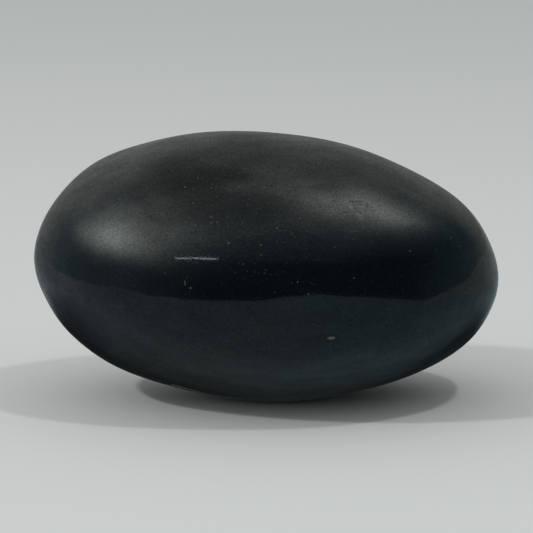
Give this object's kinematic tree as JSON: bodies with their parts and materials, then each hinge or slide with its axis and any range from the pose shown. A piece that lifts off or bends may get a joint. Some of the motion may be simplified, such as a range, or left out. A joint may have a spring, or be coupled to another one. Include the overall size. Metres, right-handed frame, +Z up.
{
  "type": "massage stone",
  "caption": "Smooth egg-shaped hot massage stone of dense black basalt, hand sized, with a small worn flat to rest on.",
  "frame": {"origin": "centre of the stone's footprint box, on the surface it rests on", "axes": "+Z up, +X along the longest extent towards the lower, slimmer end, +Y away from the viewer"},
  "size_m": [0.08, 0.0572, 0.0465],
  "materials": {
    "basalt": "oiled satin, water worn"
  },
  "bodies": {
    "root": {"stone_body": "basalt"}
  },
  "joints": []
}
